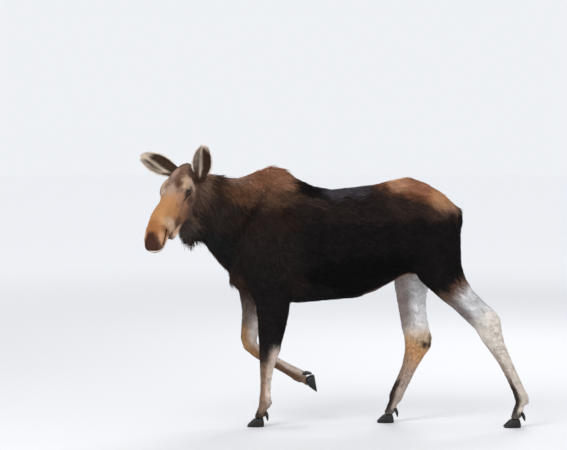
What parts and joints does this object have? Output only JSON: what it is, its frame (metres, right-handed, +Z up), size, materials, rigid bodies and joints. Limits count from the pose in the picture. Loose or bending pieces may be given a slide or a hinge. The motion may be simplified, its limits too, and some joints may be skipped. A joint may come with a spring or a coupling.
{
  "type": "cow moose",
  "caption": "Life-size still model of a cow moose, walking with its head turned aside and lowered, its body parted into named pieces, standing on its own hooves.",
  "frame": {"origin": "on the floor under the middle of the bounding box", "axes": "+Z up; the moose faces -X and its left side is -Y"},
  "size_m": [2.611, 0.7816, 1.8992],
  "materials": {
    "flank_coat": "long dark winter hair, dull",
    "neck_coat": "long brown winter hair, dull",
    "face_coat": "short tan and grey-brown hair, slightly silky",
    "ear_coat": "short hair with pale rims",
    "upper_leg_coat": "dense dark brown hair, dull",
    "lower_leg_coat": "short pale grey and tan hair, dull",
    "horn": "black horn, satin",
    "eye": "wet dark brown"
  },
  "bodies": {
    "root": {"left_fore_shoulder": "upper_leg_coat", "left_fore_forearm": "upper_leg_coat", "left_fore_cannon": "lower_leg_coat", "left_fore_pastern": "lower_leg_coat", "left_fore_hoof_outer": "horn", "left_fore_dewclaw_outer": "horn", "left_fore_hoof_inner": "horn", "left_fore_dewclaw_inner": "horn", "right_fore_shoulder": "upper_leg_coat", "right_fore_forearm": "upper_leg_coat", "right_fore_cannon": "lower_leg_coat", "right_fore_pastern": "lower_leg_coat", "right_fore_hoof_outer": "horn", "right_fore_dewclaw_outer": "horn", "right_fore_hoof_inner": "horn", "right_fore_dewclaw_inner": "horn", "left_hind_thigh": "upper_leg_coat", "left_hind_gaskin": "upper_leg_coat", "left_hind_cannon": "lower_leg_coat", "left_hind_pastern": "lower_leg_coat", "left_hind_hoof_outer": "horn", "left_hind_dewclaw_outer": "horn", "left_hind_hoof_inner": "horn", "left_hind_dewclaw_inner": "horn", "right_hind_thigh": "upper_leg_coat", "right_hind_gaskin": "upper_leg_coat", "right_hind_cannon": "lower_leg_coat", "right_hind_pastern": "lower_leg_coat", "right_hind_hoof_outer": "horn", "right_hind_dewclaw_outer": "horn", "right_hind_hoof_inner": "horn", "right_hind_dewclaw_inner": "horn", "head": "face_coat", "lower_jaw": "face_coat", "eye_left": "eye", "eye_right": "eye", "ear_left": "ear_coat", "ear_right": "ear_coat", "bell": "neck_coat", "neck": "neck_coat", "trunk": "flank_coat", "tail": "flank_coat"}
  },
  "joints": []
}
